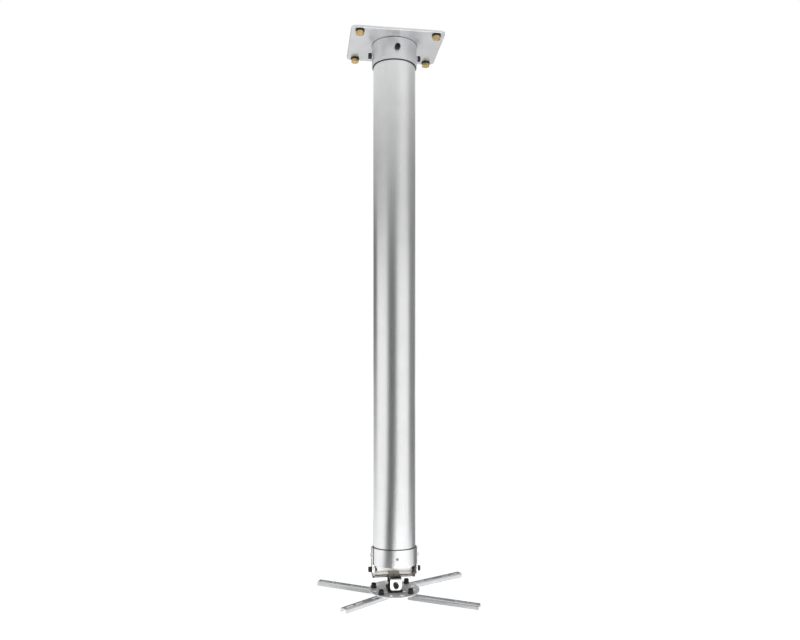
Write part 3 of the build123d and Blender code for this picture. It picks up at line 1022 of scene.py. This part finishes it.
@dataclass
class TubeColumn:
    """The tube, the collar at its lower end and the ears that carry the tilt pivot."""

    wall: float = 3.0 * MM
    end_edge: float = 0.5 * MM
    # Size of the dark strips at the ears' edges, which are painted shadow.
    shadow_line_width: float = 1.3 * MM
    shadow_line_rise: float = 1.2 * MM
    shadow_line_inset: float = 0.3 * MM
    nut_h: float = 2.5 * MM
    bolt_stub: float = 1.5 * MM
    set_screw_edge: float = 0.3 * MM
    set_socket_af: float = 2.5 * MM
    set_socket_flare: float = 0.6
    set_socket_mouth: float = 0.1 * MM
    set_socket_depth: float = 1.2 * MM
    # The tilt nuts' plating is darkened to near black: painted shade inside the cheeks.
    nut_finish: Finish = Finish("zinc_steel", (0.10, 0.10, 0.10), (0.06, 0.06, 0.06), 0.9,
                                (0.34, 0.42), Grain.EVEN, 0.002 * MM, variant="_painted_shade")

    def build_tube(self) -> None:
        """Builds the tube as a fine round shell with deburred ends."""
        low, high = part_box("tube")
        outer, edge = high.x, self.end_edge
        inner = outer - self.wall
        end = [(inner, edge), (inner + edge, 0.0), (outer - edge, 0.0),
               (outer - 0.3 * edge, 0.3 * edge), (outer, edge), (outer, 3 * edge)]
        rings = [circle(radius, low.z + rise) for radius, rise in end]
        rings += [circle(radius, high.z - rise) for radius, rise in reversed(end)]
        stand_in("tube_shell", "tube", rings, [Matrix.Identity(4)], looped=True,
                 segments=FINE_SEGMENTS)

    def build_ear_shadow_lines(self) -> None:
        """Lays dark strips in the corners between the ears' edges and the lower collar: painted
        shadow.
        """
        low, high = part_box("lower_collar")
        seat_x, half_width = high.x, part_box("collar_ear_right")[1].y
        corner = [(seat_x, half_width), (seat_x, half_width + self.shadow_line_width),
                  (seat_x + self.shadow_line_rise, half_width)]
        along = Vector((0, 0, high.z - low.z - 2 * self.shadow_line_inset))
        draft = MeshDraft()
        for side in (-1, 1):
            for end in (-1, 1):
                draft.prism([Vector((side * x, end * y, low.z + self.shadow_line_inset))
                             for x, y in corner], along)
        lay_shade_piece(draft, "ear_shadow_line_set", "lower_collar")

    def build_ear_screws(self) -> None:
        """Builds the two button screws that hold the ears."""
        seat_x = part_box("collar_ear_right")[1].x
        screw = ButtonScrew(seat_x - collar_bore_r(), shank_r=2.5 * MM, pitch=0.8 * MM,
                            head_r=4.75 * MM, head_h=2.7 * MM, socket_af=3 * MM,
                            socket_depth=1.5 * MM)
        places = places_round("ear_screws", SIDES, seat_x)
        stand_in("ear_screw_pair", "ear_screws", screw.rings(), places)

    def build_tilt_bolts(self) -> None:
        """Builds the two tilt bolts and their nuts."""
        seat_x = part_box("collar_ear_right")[1].x
        nut_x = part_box("tilt_nuts")[1].x - self.nut_h
        bolt = CapScrew(seat_x - nut_x + self.bolt_stub)
        places = places_round("tilt_bolts", SIDES, seat_x)
        stand_in("tilt_bolt_pair", "tilt_bolts", bolt.rings(), places)
        places = places_round("tilt_nuts", SIDES, nut_x, Way.REAR)
        stand_in("tilt_nut_pair", "tilt_nuts", HexNut(self.nut_h).rings(), places, looped=True,
                 finish=self.nut_finish)

    def build_set_screws(self) -> None:
        """Builds the two sunk set screws, front and rear."""
        low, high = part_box("set_screws")
        radius = (high.z - low.z) / 2
        length = high.y - collar_bore_r()
        edge, socket_af = self.set_screw_edge, self.set_socket_af
        rings = [
            circle(radius - edge, -length),
            circle(radius, -length + edge),
            circle(radius, -edge),
            circle(radius - edge, 0.0),
            circle(socket_af * self.set_socket_flare, 0.0),
            hexagon(socket_af, -self.set_socket_mouth),
            hexagon(socket_af, -self.set_socket_depth),
        ]
        places = places_round("set_screws", (Way.FRONT, Way.REAR), high.y)
        stand_in("set_screw_pair", "set_screws", rings, places)

    def build(self) -> None:
        """Builds and dresses the whole column."""
        self.build_tube()
        dress("lower_collar")
        # A dark bead on the collar's top rim: painted shadow.
        shadow_bead("lower_shadow_bead", "lower_collar", Way.UP, collar_bore_r(),
                  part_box("lower_collar")[1].z)
        dress("collar_ear_left")
        dress("collar_ear_right")
        self.build_ear_shadow_lines()
        self.build_ear_screws()
        self.build_tilt_bolts()
        self.build_set_screws()


@dataclass
class TiltHead:
    """The stirrup, the yoke, the disc with its bracket, and the arms, all at their rest tilt."""

    disc_drop: float = 38.0 * MM
    disc_t: float = 2.0 * MM
    flange_bottom: float = -16.0 * MM
    flange_t: float = 3.0 * MM
    lip_drop: float = 2.6 * MM
    lip_back_y: float = 9.5 * MM
    lip_start: float = 0.4 * MM
    yoke_front_y: float = -25.0 * MM
    yoke_rear_y: float = 20.0 * MM
    yoke_screw_y: float = 9.5 * MM
    yoke_screw_reach: float = 5.9 * MM
    nut_h: float = 5.0 * MM
    bracket_t: float = 3.0 * MM
    rivet_ys: tuple[float, float] = (-11.5 * MM, 6.5 * MM)
    rivet_r: float = 2.5 * MM
    rivet_head_r: float = 4.25 * MM
    rivet_head_h: float = 2.2 * MM
    arm_wall: float = 1.2 * MM
    face_gap: float = 0.1 * MM
    sheet_edge: float = 0.45 * MM
    arm_edge: float = 0.25 * MM
    bolt_sunk: float = 1.8 * MM
    cheek_inner_x: float = 36.3 * MM
    # Where the cheeks' painted shade begins, out from the middle.
    cheek_tone_x: float = 36.1 * MM
    cheek_tip_r: float = 8.5 * MM
    cheek_ys: tuple[float, float] = (6.0 * MM, 21.5 * MM)
    cheek_zs: tuple[float, float] = (-12.6 * MM, -3.0 * MM)
    outline_steps: int = 360
    # Dark sheets on the cheeks' inner faces, which are painted shadow.
    shade_sheet_t: float = 0.5 * MM
    shade_sheet_inset: float = 0.3 * MM
    shade_sheet_bore_r: float = 6.2 * MM
    shade_sheet_segments: int = 144
    arm_nut: KnurledNut = KnurledNut()
    arm_nut_segments: int = 96
    disc_finish: Finish = Finish("silver_paint", (0.84, 0.85, 0.85), (0.77, 0.78, 0.78), 0.6,
                                 (0.34, 0.42), Grain.PEEL, 0.008 * MM, variant="_disc")
    arm_finish: Finish = Finish("silver_paint", (0.66, 0.67, 0.68), (0.60, 0.61, 0.62), 0.95,
                                (0.29, 0.32), Grain.PEEL, 0.0005 * MM, fleck=0.08,
                                variant="_channel")

    def __post_init__(self) -> None:
        """Reads the head's own axes from the joints."""
        self.joints: dict[str, Any] = {joint["name"]: joint for joint in frame["joints"]}
        tilt, roll = self.joints["stirrup_tilt"], self.joints["disc_roll"]
        self.pivot, self.roll = Vector(tilt["pos_m"]), Vector(roll["pos_m"])
        self.x, self.y = Vector(tilt["axis"]), Vector(roll["axis"])
        self.z = self.x.cross(self.y)
        self.disc_top = self.pivot - self.disc_drop * self.z

    def stirrup_finish(self) -> LipShadeFinish:
        """The stirrup's pale plating, with painted shade down the flange's front lip and on the
        cheeks.
        """
        heights = (self.flange_bottom - self.lip_drop,
                   self.flange_bottom + self.flange_t - self.lip_start)
        return LipShadeFinish("zinc_steel", (0.95, 0.93, 0.90), (0.93, 0.91, 0.87), 0.1, (0.22, 0.26),
                         Grain.PEEL, 0.0005 * MM, fleck=0.05, variant="_folded",
                         up=tuple(self.z), back=tuple(self.y), origin=tuple(self.pivot),
                         heights=heights, depth=self.lip_back_y, cheek_x=self.cheek_tone_x)

    def cheek_outline(self, height: float, inset: float) -> RingShape:
        """The cheeks' outline round the tilt pivot, as a ring.

        Args:
            height: height of the ring above the cheek's face.
            inset: how far the ring stays inside the outline.

        Returns:
            The ring, which starts at the head's rear and turns up.
        """
        corners = [Vector((y, z)) for y in self.cheek_ys for z in self.cheek_zs]
        ways = [FULL_TURN * step / self.outline_steps for step in range(self.outline_steps)]
        reaches = [max(self.cheek_tip_r, *(corner.x * math.cos(way) + corner.y * math.sin(way)
                                           for corner in corners)) for way in ways]
        least_span = 0.05

        def shape(angle: float) -> tuple[float, float]:
            """Radius and height at an angle."""
            spans = [(reach, math.cos(way - angle)) for way, reach in zip(ways, reaches)]
            return min(reach / span for reach, span in spans if span > least_span) - inset, height
        return shape

    def build_shade_sheets(self) -> None:
        """Lays dark sheets on the cheeks' inner faces, open round the tilt nuts: painted shadow."""
        rings = [circle(self.shade_sheet_bore_r, 0.0), self.cheek_outline(0.0, self.shade_sheet_inset),
                 self.cheek_outline(self.shade_sheet_t, self.shade_sheet_inset),
                 circle(self.shade_sheet_bore_r, self.shade_sheet_t)]
        draft = MeshDraft(self.shade_sheet_segments)
        for side in (-1, 1):
            seat = self.pivot + side * self.cheek_inner_x * self.x
            place = seat_matrix(seat, -side * self.x, self.y)
            if side > 0:
                place = place @ Matrix.Scale(-1, 4, Way.REAR.vector)
            draft.stack(rings, place, looped=True)
        lay_shade_piece(draft, "cheek_shade_sheet_pair", "stirrup")

    def build_yoke_screw(self) -> None:
        """Builds the button screw under the flange."""
        screw = ButtonScrew(self.yoke_screw_reach, shank_r=2 * MM, pitch=0.7 * MM,
                            head_r=3.75 * MM, head_h=2.2 * MM, socket_af=2.5 * MM,
                            socket_depth=1.5 * MM)
        seat = self.pivot + self.flange_bottom * self.z + self.yoke_screw_y * self.y
        stand_in("yoke_button_screw", "yoke_screw", screw.rings(),
                 [seat_matrix(seat, -self.z, self.x)])

    def build_roll_pivot(self) -> None:
        """Builds the roll bolt and its nut."""
        bolt = CapScrew(self.yoke_rear_y - self.yoke_front_y + self.nut_h)
        front = seat_matrix(self.roll + self.yoke_front_y * self.y, -self.y, self.z)
        rear = seat_matrix(self.roll + self.yoke_rear_y * self.y, self.y, self.x)
        stand_in("roll_cap_bolt", "roll_bolt", bolt.rings(), [front])
        stand_in("roll_hex_nut", "roll_nut", HexNut(self.nut_h).rings(), [rear], looped=True)

    def build_rivets(self) -> None:
        """Builds the two domed rivets that hold the bracket on the disc."""
        inset, lead, crown_r = 0.2 * MM, 0.3 * MM, 0.1 * MM
        rings = [circle(self.rivet_r - inset, -self.bracket_t - self.disc_t),
                 circle(self.rivet_r, lead - self.bracket_t - self.disc_t),
                 circle(self.rivet_r, 0.0)]
        rings += [circle(self.rivet_head_r * out, self.rivet_head_h * up)
                  for out, up in quarter_arc(7)[:-1]]
        rings.append(circle(crown_r, self.rivet_head_h))
        base = self.disc_top + self.bracket_t * self.z
        places = [seat_matrix(base + y * self.y, self.z, self.x) for y in self.rivet_ys]
        stand_in("bracket_rivet_pair", "bracket_rivets", rings, places)

    def build_arm_clamp(self, corner: str) -> None:
        """Builds the captive bolt and the knurled nut of one arm.

        Args:
            corner: the arm's corner, such as front_left.
        """
        hole = Vector(self.joints[f"arm_swivel_{corner}"]["pos_m"])
        heading = Vector(self.joints[f"arm_reach_{corner}"]["axis"])
        top = seat_matrix(hole + self.face_gap * self.z, self.z, heading)
        stand_in(f"knurled_nut_{corner}", f"arm_nut_{corner}", self.arm_nut.rings(), [top],
                 looped=True, segments=self.arm_nut_segments)
        grip = self.arm_wall + self.disc_t
        drop = grip + 2 * self.face_gap
        bolt = HexScrew(across_flats=10 * MM, head_h=4 * MM, shank_r=3 * MM, grip=grip,
                        thread_r=3 * MM, pitch=1 * MM,
                        thread_length=self.arm_nut.height - self.bolt_sunk)
        stand_in(f"captive_bolt_{corner}", f"arm_bolt_{corner}", bolt.rings(),
                 [seat_matrix(hole - drop * self.z, -self.z, heading)])

    def build(self) -> None:
        """Builds and dresses the whole head."""
        dress("stirrup", self.sheet_edge, self.stirrup_finish())
        self.build_shade_sheets()
        # The yoke's upward faces get painted shade.
        dress("yoke", finish=TopShadeFinish(**ZINC_PLATE, variant="_strap_top_shade", up=tuple(self.z)))
        dress("pivot_bracket", self.sheet_edge)
        dress("adapter_disc", finish=self.disc_finish)
        self.build_yoke_screw()
        self.build_roll_pivot()
        self.build_rivets()
        for corner in ("front_left", "front_right", "rear_right", "rear_left"):
            dress(f"arm_{corner}", self.arm_edge, self.arm_finish)
            self.build_arm_clamp(corner)


@dataclass(frozen=True)
class Lamp:
    """A square soft lamp: angle to the right of the camera, distance, height, side and power."""

    name: str
    turn: float
    distance: float
    height: float
    size: float
    watts: float


@dataclass(frozen=True)
class Card:
    """A grey card beside the set, which only reflections see.

    Its stops give height, tone and cover from its foot to its top, and it thins out at its sides.
    """

    name: str
    turn: tuple[float, float]
    side_fade: float
    distance: float
    stops: tuple[tuple[float, float, float], ...]
    lean_below: float = -2.0
    lean: float = 0.0

    def shift(self, height: float) -> float:
        """How far the card's foot leans aside at a height, in degrees."""
        return self.lean * min(0.0, height - self.lean_below)

    def at_height(self, height: float) -> tuple[float, float]:
        """Reads the card between its stops.

        Args:
            height: height above the ceiling face.

        Returns:
            Tone and cover there.
        """
        for lower, upper in zip(self.stops, self.stops[1:]):
            if height <= upper[0]:
                share = max(0.0, (height - lower[0]) / (upper[0] - lower[0]))
                return tuple(low + (high - low) * share
                             for low, high in zip(lower[1:], upper[1:]))
        return self.stops[-1][1:]

    def side_cover(self, turn: float) -> float:
        """Thins the card out at its sides.

        Args:
            turn: angle to the right of the camera.

        Returns:
            How much of the card is left there, 1 away from its sides.
        """
        if not self.side_fade:
            return 1.0
        share = min(turn - self.turn[0], self.turn[1] - turn) / self.side_fade
        share = min(1.0, max(0.0, share))
        return share * share * (3 - 2 * share)


@dataclass
class Studio:
    """The floor, the light and the camera."""

    view_turn: float = -8.0
    view_distance: float = 1.386
    view_side: float = 0.0104
    eye_z: float = -0.651
    focal_px: float = 754.0
    horizon_px: float = 399.0
    image_size: tuple[int, int] = (800, 640)
    sensor_mm: float = 36.0
    floor_z: float = -1.30
    floor_reach: float = 30.0
    floor_tone: float = 0.86
    floor_mottle: float = 0.02
    mottle_scale: float = 2.0
    mottle_detail: float = 2.0
    floor_lift: float = 0.46
    fill: float = 0.62
    card_steps: int = 48
    aim_rise: float = 0.15
    lamps: tuple[Lamp, ...] = (
        Lamp("lamp_left", -58, 2.0, -0.3, 1.2, 7.0),
        Lamp("lamp_right", 52, 2.0, -0.5, 1.2, 8.0),
        Lamp("lamp_low", 8, 1.1, -1.05, 0.5, 8.0),
    )
    cards: tuple[Card, ...] = (
        Card("card_front", (-46, 24), 22, 1.0, (
            (-1.29, 0.02, 1), (-1.0, 0.06, 1), (-0.8, 0.13, 1), (-0.15, 0.14, 1), (0.1, 0.3, 0)),
            -0.9, 60),
        Card("card_rear_left", (-166, -96), 20, 2.0, (
            (-1.29, 0.92, 1), (-1.05, 0.75, 1), (-0.83, 0.50, 1), (-0.57, 0.33, 1),
            (-0.30, 0.16, 1), (-0.10, 0.15, 1), (0.09, 0.18, 1), (0.22, 0.34, 1),
            (0.40, 0.6, 0.5), (0.6, 0.7, 0))),
        Card("card_rear_right", (72, 166), 26, 2.0, (
            (-1.29, 0.22, 1), (0.1, 0.24, 1), (0.4, 0.32, 1), (0.66, 0.45, 1), (0.9, 0.6, 1),
            (1.2, 0.7, 0))),
        Card("card_upper", (-180, 180), 0, 2.1, (
            (-0.25, 0.9, 0), (-0.02, 0.85, 1), (0.11, 0.58, 1), (0.25, 0.36, 1), (0.43, 0.40, 1),
            (0.565, 0.48, 1), (0.7, 0.70, 1), (0.85, 0.86, 1), (1.3, 0.95, 1))),
        Card("card_upper_right", (12, 84), 30, 2.05, (
            (0.0, 0.8, 0), (0.11, 0.72, 1), (0.25, 0.68, 1), (0.43, 0.64, 1), (0.565, 0.60, 1),
            (0.7, 0.80, 1), (0.85, 1, 1), (1.3, 1, 1))),
        Card("card_front_low", (-66, -4), 14, 0.5, (
            (-1.29, 0.26, 1), (-1.08, 0.28, 1), (-1.03, 0.35, 0))),
        Card("card_right_low", (104, 170), 18, 0.6, (
            (-1.29, 0.12, 1), (-1.05, 0.15, 1), (-0.95, 0.25, 0))),
        Card("card_plate_right", (154, 178), 8, 1.95, (
            (-1.29, 0.2, 1), (-0.75, 0.25, 1), (-0.6, 0.4, 0))),
        Card("card_rear_low", (150, 210), 12, 0.6, (
            (-1.29, 0.02, 1), (-1.0, 0.02, 1), (-0.93, 0.05, 0))),
        Card("card_rear_high", (150, 210), 14, 1.9, (
            (-0.6, 0.1, 0), (-0.5, 0.1, 1), (0.4, 0.12, 1), (0.6, 0.3, 0))),
    )

    def way(self, turn: float) -> Vector:
        """The level direction at an angle to the right of the camera, as seen from the tube."""
        angle = math.radians(self.view_turn + turn)
        return Vector((math.sin(angle), -math.cos(angle), 0))

    def seen_directly(self, sheet: NodeSheet) -> Socket:
        """Tells the rays that show the backdrop from those that light the object.

        Args:
            sheet: the node tree of the floor or the world.

        Returns:
            1 for rays of the camera and for reflected or refracted ones, and 0 for the rest.
        """
        path = sheet.add("LightPath").outputs
        bright = sheet.maths("MAXIMUM", path["Is Camera Ray"], path["Is Glossy Ray"])
        return sheet.maths("MAXIMUM", bright, path["Is Transmission Ray"])

    def build_floor(self) -> None:
        """Builds the pale floor, which keeps the object's shadow and is clear from below."""
        reach = self.floor_reach
        mesh = bpy.data.meshes.new("floor")
        corners = [(-reach, -reach), (reach, -reach), (reach, reach), (-reach, reach)]
        mesh.from_pydata([(x, y, self.floor_z) for x, y in corners], [], [(0, 1, 2, 3)])
        sheet = NodeSheet.of_material("pale_floor")
        mottle = sheet.noise((self.mottle_scale,) * 3, self.mottle_detail)
        tone = sheet.blend(mottle, (self.floor_tone,) * 3,
                           (self.floor_tone + self.floor_mottle,) * 3)
        matt = sheet.add("BsdfDiffuse", {"Color": tone})
        lift = sheet.maths("MULTIPLY", self.seen_directly(sheet), self.floor_lift)
        glow = sheet.add("Emission", {"Strength": lift})
        both = sheet.add("AddShader", {0: matt.outputs[0], 1: glow.outputs[0]})
        below = sheet.add("NewGeometry").outputs["Backfacing"]
        clear = sheet.add("BsdfTransparent")
        open_below = sheet.add("MixShader", {0: below, 1: both.outputs[0], 2: clear.outputs[0]})
        mesh.materials.append(sheet.finish(open_below.outputs[0]))
        show("floor", mesh)

    def build_world(self) -> None:
        """Builds a white surround that lights the object at a plain level."""
        world = bpy.data.worlds.new("white_surround")
        bpy.context.scene.world = world
        sheet = NodeSheet(world)
        strength = sheet.spread(self.seen_directly(sheet), self.fill, 1.0, 0.0, 1.0)
        white = sheet.add("Background", {"Color": (1, 1, 1, 1), "Strength": strength})
        sheet.add("OutputWorld", {"Surface": white.outputs[0]})

    def build_card(self, card: Card) -> None:
        """Builds a curved grey card that stands round the object.

        Args:
            card: the card's angles, heights, distance and tone.
        """
        steps = self.card_steps
        foot, top = card.stops[0][0], card.stops[-1][0]
        points, tones, covers = [], [], []
        for row in range(steps + 1):
            height = foot + (top - foot) * row / steps
            tone, cover = card.at_height(height)
            for step in range(steps + 1):
                turn = card.turn[0] + (card.turn[1] - card.turn[0]) * step / steps
                level = self.way(turn + card.shift(height)) * card.distance
                points.append(level + Vector((0, 0, height)))
                tones.append(tone)
                covers.append(cover * card.side_cover(turn))
        count = steps + 1
        faces = [(low + step, low + step + 1, low + count + step + 1, low + count + step)
                 for low in range(0, count * steps, count) for step in range(steps)]
        mesh = bpy.data.meshes.new(card.name)
        mesh.from_pydata([tuple(point) for point in points], [], faces)
        sheet = NodeSheet.of_material(card.name)
        read = {}
        for name, values in (("tone", tones), ("cover", covers)):
            mesh.attributes.new(name, "FLOAT", "POINT").data.foreach_set("value", values)
            read[name] = sheet.add("Attribute", attribute_name=name).outputs
        glow = sheet.add("Emission", {"Color": read["tone"]["Color"], "Strength": 1.0})
        clear = sheet.add("BsdfTransparent")
        both = sheet.add("MixShader", {0: read["cover"]["Fac"], 1: clear.outputs[0],
                                       2: glow.outputs[0]})
        mesh.materials.append(sheet.finish(both.outputs[0]))
        made = show(card.name, mesh)
        for ray in ("camera", "diffuse", "transmission", "volume_scatter", "shadow"):
            setattr(made, f"visible_{ray}", False)

    def build_lamp(self, lamp: Lamp) -> None:
        """Adds a lamp that points at the middle of the object, or lower if it stands low.

        Args:
            lamp: the lamp's place, size and power.
        """
        light = bpy.data.lights.new(lamp.name, "AREA")
        light.energy = lamp.watts
        light.size = lamp.size
        made = show(lamp.name, light)
        made.location = self.way(lamp.turn) * lamp.distance + Vector((0, 0, lamp.height))
        aim = Vector((0, 0, min(self.eye_z, lamp.height + self.aim_rise))) - made.location
        made.rotation_euler = aim.to_track_quat("-Z", "Y").to_euler()
        made.visible_glossy = False

    def build_camera(self) -> None:
        """Places the camera where the photograph was taken from."""
        width, height = self.image_size
        camera = bpy.data.cameras.new("photo_view")
        camera.sensor_width = self.sensor_mm
        camera.lens = self.sensor_mm * self.focal_px / width
        camera.shift_y = (self.horizon_px - height / 2) / width
        made = show("photo_view", camera)
        look = -self.way(0)
        aside = self.view_side * look.cross(Way.UP.vector)
        made.location = -self.view_distance * look + aside + Vector((0, 0, self.eye_z))
        made.rotation_euler = look.to_track_quat("-Z", "Y").to_euler()
        bpy.context.scene.camera = made

    def build(self) -> None:
        """Builds the whole studio."""
        bpy.context.scene.view_settings.view_transform = "Standard"
        self.build_floor()
        self.build_world()
        for card in self.cards:
            self.build_card(card)
        for lamp in self.lamps:
            self.build_lamp(lamp)
        self.build_camera()


def main() -> None:
    """Builds the object's sub-assemblies and the studio, in order."""
    logging.basicConfig(level=logging.INFO, format="%(name)s: %(message)s")
    CeilingFixing().build()
    TubeColumn().build()
    TiltHead().build()
    Studio().build()


if __name__ == "__main__":
    main()
